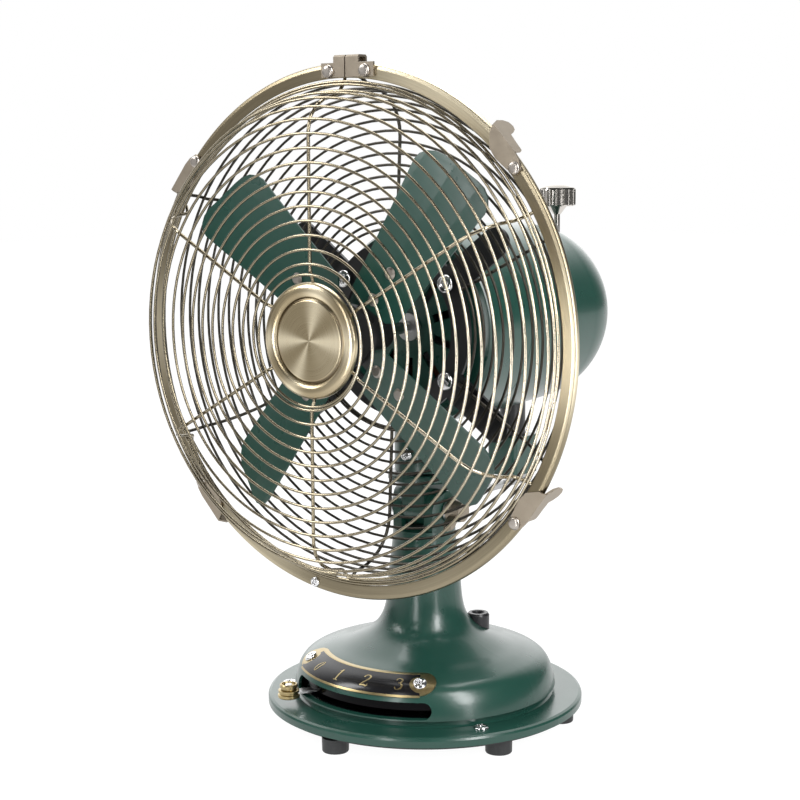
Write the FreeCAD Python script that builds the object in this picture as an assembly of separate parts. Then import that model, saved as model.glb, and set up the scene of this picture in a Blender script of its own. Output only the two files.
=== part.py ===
import FreeCAD, Part
import math
import os

# Oscillating desk fan with a 12 inch spiral-wire guard.
# Frame: Z up, origin on the table under the column's axis, -Y is the front.
# Every length is in millimetres.

V = FreeCAD.Vector
ORIGIN = V(0, 0, 0)
AX = V(1, 0, 0)
AY = V(0, 1, 0)
AZ = V(0, 0, 1)

# --- driving dimensions ---
HEAD_Z = 262.4          # height of the fan's axis
BAND_Y = -80.65         # plane of the band's front edge
BAND_R = 166.0          # outer radius of the band
BASE_R = 105.4          # outer radius of the base flange
FLANGE_Z0 = 11.2        # underside of the flange
FLANGE_Z1 = 17.3        # top of the flange
TILT_Z = 141.0          # height of the tilt bolt
CHEEK_IN = 9.2          # inner face of each clevis cheek
FEET = [(0, -96), (84.5, -37), (84.5, 37), (0, 96), (-84.5, 37), (-84.5, -37)]
PLATE_Z = (36.5, 47.0)  # number plate, bottom and top
PLATE_MID = -3.2        # azimuth of the plate's middle
PLATE_HALF = 37.1       # from there to each of its screws
SLOT_Z = (22.9, 33.3)   # lever slot, bottom and top
SLOT_AZ = 38.6          # azimuth of the slot's ends
LEVER_AZ = -30.2        # lever at its 0 position
LEVER_R = 97.0          # reach of the lever's knob
HOUSING_R = 65.0        # motor housing
FACE_Y = -15.65         # motor's front face
SEAM_Y = 30.0           # joint between the front and the rear shell
TAIL_Y = 114.35         # centre of the spherical tail
TAIL_R = 62.5
KNOB_Y = 164.5          # oscillation knob
GEAR_Y = 107.0          # axis of the oscillation crank
CRANK_E = 12.0          # throw of the crank
ANCHOR_Y = 28.0         # fixed end of the oscillation link
SHAFT_R = 4.0
PIN_R = 7.0             # vertical pivot pin in the head's boss
FIT = 0.05              # radial clearance of a running fit
WIRE_R = 1.0            # guard wire
SPOKE_R = 1.1           # guard spoke
FRONT_PITCH = 8.58      # front spiral, millimetres a turn
REAR_PITCH = 7.1
BLADE_TIP = 134.3
BLADE_TH = [52.0 + 90 * k for k in range(4)]
LATCH_TH = [39.5, 138.8, 220.5, 321.1]

os.makedirs("parts", exist_ok=True)


def save(name, shape):
    shape.exportStep("parts/%s.step" % name)


def polar(r, az, z):
    """Point at azimuth az from the front, seen from above."""
    a = math.radians(az)
    return V(r * math.sin(a), -r * math.cos(a), z)


def on_head(r, th, y):
    """Point at angle th from +X about the fan's axis, seen from the front."""
    a = math.radians(th)
    return V(r * math.cos(a), y, HEAD_Z + r * math.sin(a))


def rod(r, a, b):
    """Cylinder of radius r from point a to point b."""
    d = b.sub(a)
    return Part.makeCylinder(r, d.Length, a, d)


def tube(r_out, r_in, a, b):
    return rod(r_out, a, b).cut(rod(r_in, a, b))


def box(x0, x1, y0, y1, z0, z1):
    return Part.makeBox(x1 - x0, y1 - y0, z1 - z0, V(x0, y0, z0))


def face_of(points):
    return Part.Face(Part.makePolygon(points + [points[0]]))


def lathe(points, angle=360.0):
    """Revolve (radius, z) points about the column's axis."""
    face = face_of([V(r, 0, z) for r, z in points])
    return face.revolve(ORIGIN, AZ, angle)


def lathe_head(points):
    """Revolve (radius, y) points about the fan's axis."""
    face = face_of([V(r, y, HEAD_Z) for r, y in points])
    return face.revolve(V(0, 0, HEAD_Z), AY, 360)


def group(shapes):
    return Part.makeCompound(shapes)


def fuse(shapes):
    result = shapes[0].multiFuse(shapes[1:])
    return result.removeSplitter()


def one(shape):
    """The single solid inside a boolean result."""
    return shape.Solids[0] if len(shape.Solids) == 1 else shape


def wire_tube(points, r, refs):
    """Four-sided wire of radius r along points.

    refs gives, for each point, a direction across the wire, so that one
    edge of the section faces it and the wire doesn't twist.
    """
    ring = []
    last = len(points) - 1
    for i, p in enumerate(points):
        t = points[min(i + 1, last)].sub(points[max(i - 1, 0)])
        t.normalize()
        a = refs[i].sub(V(t).multiply(refs[i].dot(t)))
        a.normalize()
        b = t.cross(a)
        a.multiply(r)
        b.multiply(r)
        ring.append([p.add(a), p.add(b), p.sub(a), p.sub(b)])
    verts = [v for section in ring for v in section]
    tris = []
    for i in range(last):
        for k in range(4):
            p0 = 4 * i + k
            p1 = 4 * i + (k + 1) % 4
            tris.append((p0, p1, p1 + 4))
            tris.append((p0, p1 + 4, p0 + 4))
    tris.append((0, 2, 1))
    tris.append((0, 3, 2))
    e = 4 * last
    tris.append((e, e + 1, e + 2))
    tris.append((e, e + 2, e + 3))
    shell = Part.Shape()
    shell.makeShapeFromMesh((verts, tris), 0.001)
    solid = Part.makeSolid(shell)
    if solid.Volume < 0:
        solid.reverse()
    return solid


def along(profile, s):
    """Point of a (radius, y) profile at arc length s."""
    for (r0, y0), (r1, y1) in zip(profile, profile[1:]):
        step = math.hypot(r1 - r0, y1 - y0)
        if s <= step:
            k = s / step
            return r0 + (r1 - r0) * k, y0 + (y1 - y0) * k
        s -= step
    return None


def spiral(profile, s0, pitch, th0, turns_flat, per_turn):
    """Wire that winds outward over a dish.

    It makes turns_flat turns at arc length s0, then climbs one pitch of the
    profile's length in every turn until the profile ends.
    """
    points = []
    k = 0
    while True:
        tau = k / per_turn
        s = s0 + pitch * max(0.0, tau - turns_flat)
        at = along(profile, s)
        if at is None:
            return points
        points.append(on_head(at[0], th0 - 360 * tau, at[1]))
        k += 1


def dish(centre_y, flat_r, side_r, depth, forward):
    """Profile of a guard: flat, then an elliptical corner of a given depth."""
    out = [(0.0, centre_y), (flat_r, centre_y)]
    for i in range(1, 9):
        q = math.radians(90 * i / 8)
        out.append((flat_r + (side_r - flat_r) * math.sin(q),
                    centre_y + forward * depth * (1 - math.cos(q))))
    return out


# --- base: pressed dome, flange and column in one shell ---
DOME = [(88.0, 18.4), (86.9, 26.0), (85.0, 32.9), (81.5, 39.1), (77.2, 42.5), (71.3, 44.9),
        (64.1, 47.3), (57.2, 49.2), (49.3, 52.3), (43.4, 55.0), (37.5, 58.1), (32.7, 62.0),
        (29.4, 66.6), (26.9, 72.6), (25.3, 80.6), (24.2, 94.0), (22.6, 108.0), (21.0, 122.0)]


def curve_face(outer, closing):
    """Face bounded by a smooth curve through outer and straight closing."""
    curve = Part.BSplineCurve()
    curve.interpolate([V(r, 0, z) for r, z in outer])
    corner = [outer[-1]] + closing + [outer[0]]
    edges = [curve.toShape()]
    for (r0, z0), (r1, z1) in zip(corner, corner[1:]):
        edges.append(Part.LineSegment(V(r0, 0, z0), V(r1, 0, z1)).toShape())
    return Part.Face(Part.Wire(edges))


def dome_solid(offset):
    """Solid under the dome's curve, shrunk by offset along its normal."""
    pts = []
    last = len(DOME) - 1
    for i, (r, z) in enumerate(DOME):
        r0, z0 = DOME[max(i - 1, 0)]
        r1, z1 = DOME[min(i + 1, last)]
        n = math.hypot(r1 - r0, z1 - z0)
        pts.append((r - offset * (z1 - z0) / n, z + offset * (r1 - r0) / n))
    top = pts[-1][1]
    low = FLANGE_Z0 - 1.0 if offset > 0 else FLANGE_Z0
    if offset > 0:
        pts = [(pts[0][0], low)] + pts
    face = curve_face(pts, [(0, top), (0, pts[0][1])])
    return face.revolve(ORIGIN, AZ, 360)


def arc_slot(r0, r1, z0, z1, az):
    """Slot through a wall, from -az to az, with rounded ends."""
    h = (z1 - z0) / 2.0
    zc = (z0 + z1) / 2.0
    reach = az - math.degrees(h / r1)
    sector = lathe([(r0, z0), (r1, z0), (r1, z1), (r0, z1)], 2 * reach)
    sector.rotate(ORIGIN, AZ, -90 - reach)
    ends = [rod(h, polar(r0, a, zc), polar(r1, a, zc)) for a in (-reach, reach)]
    return sector.fuse(ends)


def cheek(x0, x1, r, z0, z1):
    """Rounded ear of the clevis."""
    ear = box(x0, x1, -r, r, z0, z1)
    return ear.fuse(rod(r, V(x0, 0, z1), V(x1, 0, z1)))


def build_base_shell():
    flange = lathe([(82.25, FLANGE_Z0), (BASE_R, FLANGE_Z0), (BASE_R, FLANGE_Z1 - 2.0),
                    (BASE_R - 0.6, FLANGE_Z1 - 0.7), (BASE_R - 2.2, FLANGE_Z1), (86.2, FLANGE_Z1),
                    (84.9, FLANGE_Z1 + 1.0), (84.9, 22.0), (86.6, 22.0), (86.4, 22.7), (82.25, 22.7)])
    wall = dome_solid(0.0).cut(dome_solid(1.8))
    # the wall ends in a lip, with a dark recess between it and the flange
    wall = wall.cut(tube(95.0, 84.9, V(0, 0, 5), V(0, 0, 22.0)))
    top = Part.makeCone(21.2, 20.8, 7.5, V(0, 0, 120.0))
    ears = []
    for x0, x1 in ((CHEEK_IN, 20.0), (-20.0, -CHEEK_IN)):
        ears.append(cheek(x0, x1, 13.0, 125.0, TILT_Z))
    ears = ears[0].fuse(ears[1]).common(rod(20.6, V(0, 0, 120), V(0, 0, 160)))
    shell = flange.fuse([wall, top, ears])
    shell = shell.cut(arc_slot(78.0, 95.0, SLOT_Z[0], SLOT_Z[1], SLOT_AZ))
    shell = shell.cut(rod(4.1, V(-30, 0, TILT_Z), V(30, 0, TILT_Z)))
    holes = [rod(2.55, V(x, y, 5), V(x, y, 15)) for x, y in FEET]
    holes += [rod(1.6, polar(92, a, 5), polar(92, a, 25)) for a in FLANGE_SCREWS]
    holes += [rod(1.55, p.sub(n), p.add(n)) for p, n in plate_screw_axes(9.0)]
    gland = V(GLAND[0], GLAND[1], 40)
    holes.append(rod(5.6, gland, gland.add(V(0, 0, 40))))
    return one(shell.cut(group(holes)).removeSplitter())


FLANGE_SCREWS = (58.7, 180.0, 301.3)
GLAND = (22.7, 30.5)


plate_holes = [rod(2.55, V(x, y, 5), V(x, y, 15)) for x, y in FEET]
plate_holes += [rod(1.6, polar(92, a, 5), polar(92, a, 25)) for a in FLANGE_SCREWS]
base_plate = rod(102.0, V(0, 0, 9.2), V(0, 0, FLANGE_Z0)).cut(group(plate_holes))
save("base_plate", one(base_plate))

feet = []
foot_screws = []
for x, y in FEET:
    foot = lathe([(4.6, 0), (8.1, 0), (8.5, 0.6), (8.7, 9.2), (2.6, 9.2), (2.6, 4.2), (4.6, 4.2)])
    foot.translate(V(x, y, 0))
    feet.append(foot)
    head = rod(4.2, V(x, y, 2.0), V(x, y, 4.2))
    foot_screws.append(head.fuse(rod(2.5, V(x, y, 4.2), V(x, y, 14))))
save("rubber_feet", group(feet))
save("foot_screws", group(foot_screws))

flange_screws = []
for a in FLANGE_SCREWS:
    head = Part.makeCone(5.0, 3.6, 1.6, polar(92, a, FLANGE_Z1 + 0.05))
    flange_screws.append(head.fuse(rod(1.5, polar(92, a, 9.4), polar(92, a, FLANGE_Z1 + 0.1))))
save("flange_screws", group(flange_screws))


def build_number_plate():
    """Plate that follows the dome, with a round end about each screw."""
    skin = dome_solid(-0.95).cut(dome_solid(-0.1))
    skin = skin.common(rod(110, V(0, 0, PLATE_Z[0]), V(0, 0, PLATE_Z[1])))
    wedge = lathe([(60, 30), (110, 30), (110, 60), (60, 60)], 2 * PLATE_HALF)
    wedge.rotate(ORIGIN, AZ, -90 + PLATE_MID - PLATE_HALF)
    body = skin.common(wedge)
    ends = []
    for p, n in plate_screw_axes(9.0):
        middle = V(p.x * 75.0 / 76.9, p.y * 75.0 / 76.9, 43.4)
        ends.append(skin.common(rod(10.2, middle.sub(n), middle.add(n))))
    plate = body.fuse(ends)
    holes = [rod(1.6, p.sub(n), p.add(n)) for p, n in plate_screw_axes(9.0)]
    return one(plate.cut(group(holes)).removeSplitter())


def plate_screw_axes(length):
    """Foot and half length of each plate screw, along the dome's normal."""
    out = []
    for a in (PLATE_MID - PLATE_HALF, PLATE_MID + PLATE_HALF):
        n = polar(0.58, a, 0.81)
        n.normalize()
        out.append((polar(76.9, a, 42.6), n.multiply(length)))
    return out


save("base_shell", build_base_shell())
save("number_plate", build_number_plate())

plate_screws = []
for p, n in plate_screw_axes(1.0):
    face = p.add(V(n).multiply(1.2))
    head = Part.makeCone(4.4, 2.6, 1.7, face, n)
    plate_screws.append(head.fuse(rod(1.5, p.sub(V(n).multiply(5)), face)))
save("plate_screws", group(plate_screws))

liner = lathe([(80.8, 19.5), (82.2, 19.5), (82.2, 34.3), (80.8, 34.3)], 96)
liner.rotate(ORIGIN, AZ, -90 - 48)
save("slot_liner", one(liner.cut(arc_slot(78, 90, 23.2, 27.6, 41.0))))

gx, gy = GLAND
gland = lathe([(3.6, 50.0), (5.5, 50.0), (5.5, 54.0), (7.6, 54.0), (7.6, 64.0), (6.6, 65.6),
               (4.6, 65.6), (3.6, 64.4)])
gland.translate(V(gx, gy, 0))
lump = dome_solid(-0.1)
save("cord_gland", one(gland.cut(lump.cut(rod(5.6, V(gx, gy, 40), V(gx, gy, 80))))))

switch = fuse([rod(15.0, V(0, 0, FLANGE_Z0), V(0, 0, 21.0)), rod(5.5, V(0, 0, 20), V(0, 0, 24.2)),
               box(-8, 8, 12, 26, FLANGE_Z0, 19.0)])
save("speed_switch", one(switch.cut(rod(3.0 + FIT, V(0, 0, 14), V(0, 0, 30)))))

# --- speed lever ---
ARM_Z = (24.6, 26.2)
shaft = fuse([rod(3.0, V(0, 0, 14.5), V(0, 0, 26.2)), rod(5.0, V(0, 0, 26.2), V(0, 0, 27.8))])
save("switch_shaft", one(shaft))

arm = box(-3.4, 3.4, -LEVER_R, 6, ARM_Z[0], ARM_Z[1])
arm = arm.fuse([rod(3.4, V(0, -LEVER_R, ARM_Z[0]), V(0, -LEVER_R, ARM_Z[1])),
                rod(8.0, V(0, 0, ARM_Z[0]), V(0, 0, ARM_Z[1]))])
arm = arm.cut(rod(3.0, V(0, 0, 20), V(0, 0, 30)))
arm = arm.cut(rod(1.6, V(0, -LEVER_R, 20), V(0, -LEVER_R, 30)))
knob = lathe([(0, 22.3), (6.4, 22.3), (7.2, 23.0), (7.2, 24.6), (6.2, 25.2), (6.2, 25.9),
              (6.9, 26.3), (6.9, 27.6), (5.0, 28.2), (5.0, 29.0), (5.9, 29.4), (5.9, 31.0),
              (5.3, 31.6), (4.6, 31.6), (4.2, 30.2), (0, 30.2)])
knob.translate(V(0, -LEVER_R, 0))
knob = knob.cut(group([arm, rod(1.6, V(0, -LEVER_R, 20), V(0, -LEVER_R, 32)),
                       rod(3.1, V(0, -LEVER_R, 22), V(0, -LEVER_R, 23.2))]))
lever_screw = fuse([rod(1.6, V(0, -LEVER_R, 22.6), V(0, -LEVER_R, 30.3)),
                    Part.makeCone(3.2, 2.2, 1.0, V(0, -LEVER_R, 30.2)),
                    rod(3.0, V(0, -LEVER_R, 22.0), V(0, -LEVER_R, 23.2))])
for name, piece in (("lever_arm", arm), ("lever_knob", knob), ("lever_screw", lever_screw)):
    piece.rotate(ORIGIN, AZ, LEVER_AZ)
    save(name, one(piece.removeSplitter()))

# --- tilt joint ---
tilt_bolt = fuse([rod(4.0, V(-21.5, 0, TILT_Z), V(29.3, 0, TILT_Z)),
                  Part.makeCone(7.5, 6.5, 4.0, V(-21.5, 0, TILT_Z), V(-1, 0, 0))])
save("tilt_bolt", one(tilt_bolt))
save("tilt_washer", one(tube(8.0, 4.1, V(20.7, 0, TILT_Z), V(22.3, 0, TILT_Z))))

wing_hub = Part.makeCone(8.2, 6.4, 9.4, V(22.6, 0, TILT_Z), AX)
wings = []
for side in (-1, 1):
    outline = [(25.0, 4.0), (30.0, 4.0), (32.3, 12.5), (32.1, 16.6), (29.3, 18.7), (26.6, 17.4), (25.1, 9.0)]
    wing = face_of([V(x, side * y, -2.0) for x, y in outline])
    wing = wing.extrude(V(0, 0, 4.0))
    wing.translate(V(0, 0, TILT_Z))
    wings.append(wing)
tilt_knob = fuse([wing_hub] + wings).cut(rod(4.0 + FIT, V(20, 0, TILT_Z), V(30.2, 0, TILT_Z)))
tilt_knob.rotate(V(0, 0, TILT_Z), AX, 28)
save("tilt_knob", one(tilt_knob))

tongue = box(-8.9, 8.9, -12.6, 12.6, TILT_Z, 161.0)
tongue = tongue.fuse(rod(12.6, V(-8.9, 0, TILT_Z), V(8.9, 0, TILT_Z)))
collar = lathe([(0, 160.0), (22.8, 160.0), (24.0, 161.2), (24.0, 164.3), (23.0, 165.3), (0, 165.3)])
rear_arm = box(-6.0, 6.0, 8.0, ANCHOR_Y, 150.0, 156.5).fuse(rod(6.0, V(0, ANCHOR_Y, 150.0), V(0, ANCHOR_Y, 156.5)))
neck = fuse([tongue, collar, rear_arm, rod(PIN_R, V(0, 0, 165), V(0, 0, 199.0))])
groove = tube(PIN_R + 1, PIN_R - 1.0, V(0, 0, 176.4), V(0, 0, 181.6))
neck = neck.cut(group([groove, rod(4.0 + FIT, V(-10, 0, TILT_Z), V(10, 0, TILT_Z)),
                       rod(2.5, V(0, ANCHOR_Y, 149), V(0, ANCHOR_Y, 158))]))
save("neck_casting", one(neck))
anchor = fuse([rod(2.5, V(0, ANCHOR_Y, 138.4), V(0, ANCHOR_Y, 156.5)), rod(4.4, V(0, ANCHOR_Y, 137.2), V(0, ANCHOR_Y, 138.5))])
save("link_anchor_pin", one(anchor))

# --- motor housing ---


def build_front_shell():
    """Drawn cup with a vented face and the boss that sits on the neck."""
    outer = lathe_head([(0, FACE_Y), (59, FACE_Y), (62.4, FACE_Y + 1.2), (64.4, FACE_Y + 4.0),
                        (HOUSING_R, FACE_Y + 9), (HOUSING_R, SEAM_Y), (0, SEAM_Y)])
    boss = rod(19.5, V(0, 0, 166.6), V(0, 0, 215.0))
    inner = lathe_head([(0, FACE_Y + 2.2), (58.4, FACE_Y + 2.2), (61.2, FACE_Y + 5),
                        (HOUSING_R - 2.2, FACE_Y + 10), (HOUSING_R - 2.2, SEAM_Y + 1), (0, SEAM_Y + 1)])
    bearing_seat = tube(13.0, 9.0, V(0, FACE_Y, HEAD_Z), V(0, FACE_Y + 14, HEAD_Z))
    posts = [rod(5.8, on_head(51, t, -27.15), on_head(51, t, FACE_Y + 1.1)) for t in BRACKET_TH]
    body = outer.fuse([boss] + posts).cut(inner).fuse(bearing_seat)
    cuts = [rod(9.0, V(0, FACE_Y - 5, HEAD_Z), V(0, FACE_Y + 20, HEAD_Z))]
    cuts.append(rod(PIN_R + FIT, V(0, 0, 160), V(0, 0, 199.6)))
    cuts += [rod(1.9, on_head(51, t, -30), on_head(51, t, FACE_Y + 6)) for t in BRACKET_TH]
    cuts.append(rod(2.4, V(0, -25, 179.0), V(0, -6, 179.0)))
    for k in range(10):
        th = 36 * k + 18
        vent = box(20, 40, FACE_Y - 1, FACE_Y + 4, HEAD_Z - 2.6, HEAD_Z + 2.6)
        vent.rotate(V(0, 0, HEAD_Z), AY, -th)
        cuts.append(vent)
    return one(body.cut(group(cuts)).removeSplitter())


BRACKET_TH = (37.0, 143.0, 217.0, 323.0)

save("motor_front_shell", build_front_shell())


def tail_profile(offset):
    """Points of the bullet tail, shrunk by offset."""
    r = TAIL_R - offset
    pts = [(HOUSING_R - offset, SEAM_Y), (HOUSING_R - 0.7 - offset, 75.0)]
    for i in range(0, 10):
        q = math.radians(90 * i / 9)
        pts.append((r * math.cos(q), TAIL_Y + r * math.sin(q)))
    return pts


rear = lathe_head(tail_profile(0.0) + [(0, SEAM_Y)])
hollow = lathe_head([(HOUSING_R - 2.2, SEAM_Y - 1)] + tail_profile(2.2)[1:] + [(0, SEAM_Y - 1)])
rear = rear.cut(hollow)
rear = rear.cut(group([rod(5.0, V(0, KNOB_Y, 270), V(0, KNOB_Y, 320)),
                       rod(4.6, V(0, GEAR_Y, 180), V(0, GEAR_Y, 230))]))
save("motor_rear_shell", one(rear))

# laminated stator, two coils, bearings
save("stator_core", one(tube(62.0, 25.0, V(0, 8, HEAD_Z), V(0, 52, HEAD_Z))))
coils = [tube(50.0, 28.0, V(0, y, HEAD_Z), V(0, y + 11.0, HEAD_Z)) for y in (-3.6, 52.3)]
save("stator_coils", group(coils))
bearings = [tube(9.0, SHAFT_R + FIT, V(0, FACE_Y - 1.5, HEAD_Z), V(0, FACE_Y + 13, HEAD_Z)),
            tube(9.0, SHAFT_R + FIT, V(0, 70.0, HEAD_Z), V(0, 80.0, HEAD_Z))]
save("shaft_bearings", group(bearings))

# cast bridge: rear bearing seat and the shelf that carries the gear
bridge = lathe_head([(9.0, 71.0), (62.0, 71.0), (62.0, 74.5), (13.0, 74.5), (13.0, 79.0), (9.0, 79.0)])
bridge = bridge.fuse(box(-17, 17, 73.0, GEAR_Y + 14, HEAD_Z - 30, HEAD_Z - 26))
bridge = bridge.cut(rod(4.0 + FIT, V(0, GEAR_Y, 220), V(0, GEAR_Y, 250)))
save("bearing_bridge", one(bridge.removeSplitter()))

# reduction gear in the tail
wheel_teeth = 24
pts = []
for k in range(wheel_teeth):
    for da, r in ((0.0, 14.0), (0.32, 14.0), (0.44, 12.4), (0.88, 12.4)):
        a = 2 * math.pi * (k + da) / wheel_teeth
        pts.append(V(14.0 * 0 + r * math.cos(a), GEAR_Y + r * math.sin(a), HEAD_Z - 22.4))
worm_wheel = face_of(pts).extrude(V(0, 0, 4.0))
save("worm_wheel", one(worm_wheel.cut(rod(5.2, V(0, GEAR_Y, 200), V(0, GEAR_Y, 260)))))

grommet = lathe([(2.35, 293.5), (4.9, 293.5), (4.9, 300.0), (8.0, 300.0), (8.0, 308.6), (7.0, 309.6), (2.35, 309.6)])
grommet.translate(V(0, KNOB_Y, 0))
tail_solid = lathe_head(tail_profile(-0.05) + [(0, SEAM_Y)])
grommet = grommet.cut(tail_solid.cut(rod(4.95, V(0, KNOB_Y, 270), V(0, KNOB_Y, 320))))
save("knob_grommet", one(grommet))

pillar = tube(9.0, 4.6, V(0, GEAR_Y, 175.2), V(0, GEAR_Y, 203))
pillar = pillar.cut(lathe_head(tail_profile(-0.05) + [(0, SEAM_Y)]))
save("gear_pillar", one(pillar))
case = box(-12, 12, GEAR_Y - 15, GEAR_Y + 15, 148.0, 175.0)
upright = [e for e in case.Edges if abs(e.tangentAt(0).z) > 0.9]
case = case.makeFillet(3.0, upright)
save("gearbox_case", one(case.cut(rod(4.0 + FIT, V(0, GEAR_Y, 140), V(0, GEAR_Y, 180)))))

crank = fuse([rod(4.0, V(0, GEAR_Y, 143.5), V(0, GEAR_Y, 236.0)),
              rod(7.0, V(0, GEAR_Y, 143.5), V(0, GEAR_Y, 147.4)),
              box(-5.5, 5.5, GEAR_Y, GEAR_Y + CRANK_E, 143.5, 146.5),
              rod(5.5, V(0, GEAR_Y + CRANK_E, 143.5), V(0, GEAR_Y + CRANK_E, 146.5)),
              rod(2.5, V(0, GEAR_Y + CRANK_E, 138.4), V(0, GEAR_Y + CRANK_E, 144.0))])
save("crank_shaft", one(crank))
y0 = ANCHOR_Y
y1 = GEAR_Y + CRANK_E
link = box(-4.0, 4.0, y0, y1, 139.6, 142.4)
link = link.fuse([rod(6.5, V(0, y0, 139.6), V(0, y0, 142.4)), rod(6.0, V(0, y1, 139.6), V(0, y1, 142.4))])
link = link.cut(group([rod(3.1, V(0, y0, 138), V(0, y0, 144)), rod(2.5 + FIT, V(0, y1, 138), V(0, y1, 144))]))
save("oscillation_link", one(link.removeSplitter()))

# oscillation knob, pulled up to free the head
stem = fuse([rod(2.3, V(0, KNOB_Y, 272.0), V(0, KNOB_Y, 333.0)), rod(4.4, V(0, KNOB_Y, 268.0), V(0, KNOB_Y, 273.0))])
save("knob_stem", one(stem))
flutes = []
cap = lathe([(2.31, 329.3), (2.9, 329.3), (7.2, 335.0), (12.6, 335.2), (13.6, 336.2), (13.6, 346.8),
             (12.8, 348.4), (9.5, 350.0), (5.0, 351.0), (0, 351.2), (0, 333.05), (2.31, 333.05)])
for k in range(18):
    a = 2 * math.pi * k / 18
    foot = V(14.1 * math.cos(a), 14.1 * math.sin(a), 335)
    flutes.append(rod(1.15, foot, foot.add(V(0, 0, 12.5))))
cap = cap.cut(group(flutes))
cap.translate(V(0, KNOB_Y, 0))
save("oscillation_knob", one(cap))

set_screw = fuse([Part.makeCone(4.4, 3.0, 1.8, V(0, -19.55, 179.0), V(0, -1, 0)), rod(2.3, V(0, -19.6, 179.0), V(0, -6.3, 179.0))])
save("neck_set_screw", one(set_screw))

# --- guard bracket behind the rear guard ---
arms = [tube(57.0, 43.0, V(0, -29.65, HEAD_Z), V(0, -27.25, HEAD_Z))]
for th in BRACKET_TH:
    strip = box(44, 95, -29.65, -27.25, HEAD_Z - 9.5, HEAD_Z + 9.5)
    strip = strip.fuse(rod(9.5, V(95, -29.65, HEAD_Z), V(95, -27.25, HEAD_Z)))
    strip.rotate(V(0, 0, HEAD_Z), AY, -th)
    arms.append(strip)
bracket = fuse(arms).cut(group([rod(1.9, on_head(51, t, -31), on_head(51, t, -26)) for t in BRACKET_TH]))
save("guard_bracket", one(bracket))
bracket_screws = []
for th in BRACKET_TH:
    head = Part.makeCone(5.9, 4.4, 2.6, on_head(51, th, -32.1), V(0, -1, 0))
    washers = [rod(7.0, on_head(51, th, -30.75), on_head(51, th, -29.75)),
               rod(5.5, on_head(51, th, -32.15), on_head(51, th, -30.7))]
    screw = head.fuse(washers + [rod(1.85, on_head(51, th, -29.8), on_head(51, th, -14.0))])
    bracket_screws.append(screw.removeSplitter())
save("bracket_screws", group(bracket_screws))

# --- guards: two spiral wires, each on six spokes and a rim ---
FRONT = dish(BAND_Y - 36.5, 125.7, 148.7, 28.4, 1) + [(152.2, BAND_Y - 4.6), (155.6, BAND_Y - 1.4)]
front_path = spiral(FRONT, 40.0, FRONT_PITCH, 335.0, 0.93, 30)
save("front_guard_wire", wire_tube(front_path, WIRE_R, [AY] * len(front_path)))

REAR = dish(-33.4, 122.0, 151.0, 34.0, -1) + [(153.6, -69.5), (155.0, -73.0)]
rear_path = spiral(REAR, 64.0, REAR_PITCH, 300.0, 0.9, 28)
save("rear_guard_wire", wire_tube(rear_path, WIRE_R, [AY] * len(rear_path)))


def spokes(profile, angles):
    """Radial wires that follow a profile of (radius, y) points."""
    out = []
    for th in angles:
        a = math.radians(th)
        side = V(-math.sin(a), 0, math.cos(a))
        pts = [on_head(r, th, y) for r, y in profile]
        out.append(wire_tube(pts, SPOKE_R, [side] * len(pts)))
    return out


gap = WIRE_R + SPOKE_R + 0.04
fy = BAND_Y - 36.5 + gap
front_spoke = [(31.0, fy + 2.7), (37.0, fy + 2.5), (42.5, fy), (125.0, fy)]
front_spoke += [(133.3, fy + 2.1), (140.0, fy + 8.0), (144.6, fy + 16.5), (146.7, fy + 28.0),
                (149.7, BAND_Y - 3.6), (154.2, BAND_Y + 0.3), (157.6, BAND_Y + 1.2), (160.8, BAND_Y + 1.2)]

# the rear spokes lie outside their wire, then come in under the band
ry = -33.4 + gap
rear_spoke = [(58.6, ry), (122.0, ry)]
for i in range(1, 8):
    q = math.radians(90 * i / 8)
    n = math.hypot(34.0 * math.sin(q), 29.0 * math.cos(q))
    rear_spoke.append((122.0 + 29.0 * math.sin(q) + gap * 34.0 * math.sin(q) / n,
                       -67.4 + 34.0 * math.cos(q) + gap * 29.0 * math.cos(q) / n))
rear_spoke += [(153.1, -66.0), (155.3, -68.0), (157.2, -72.2), (158.4, -76.8), (159.1, BAND_Y + 2.75),
               (160.8, BAND_Y + 2.75)]


def rim(y):
    """Rim wire of a guard, held in the band's channel."""
    return lathe_head([(161.0, y), (162.0, y - 1.0), (163.0, y), (162.0, y + 1.0)])


front = spokes(front_spoke, [30 + 60 * k for k in range(6)]) + [rim(BAND_Y + 0.65)]
save("front_guard_spokes", group(front))
rear = spokes(rear_spoke, [27.6 + 60 * k for k in range(6)]) + [rim(BAND_Y + 2.75)]
save("rear_guard_spokes", group(rear))

# --- band: a channel that clamps both rims ---
b = BAND_Y
GAP_X = 3.1
CLASP_RIVET_X = (-9.8, 18.0)
BAND_SCREW = on_head(161.9, 260.6, b)
band = lathe_head([(158.3, b - 0.6), (160.0, b - 1.5), (163.4, b - 1.5), (165.2, b - 0.7), (BAND_R, b + 0.7),
                   (BAND_R - 0.1, b + 2.0), (165.0, b + 3.4), (163.6, b + 4.4), (161.8, b + 4.9), (160.2, b + 4.8),
                   (160.2, b + 3.95), (161.7, b + 4.05), (163.15, b + 3.65), (164.3, b + 2.9), (165.05, b + 1.8),
                   (165.1, b + 0.9), (164.6, b), (163.2, b - 0.65), (160.2, b - 0.65), (158.6, b + 0.05)])
gap_cut = box(GAP_X - 0.8, GAP_X + 0.8, b - 5, b + 8, HEAD_Z + 150, HEAD_Z + 170)
clasp_holes = [rod(1.6, V(x, b - 5, HEAD_Z + 160.7), V(x, b - 0.2, HEAD_Z + 160.7)) for x in CLASP_RIVET_X]
band = band.cut(group([gap_cut] + clasp_holes))
latch_holes = [rod(1.65, on_head(161.9, t, b - 5), on_head(161.9, t, b - 0.2)) for t in LATCH_TH]
band = band.cut(group(latch_holes + [rod(1.6, BAND_SCREW.add(V(0, -5, 0)), BAND_SCREW)]))
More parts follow.
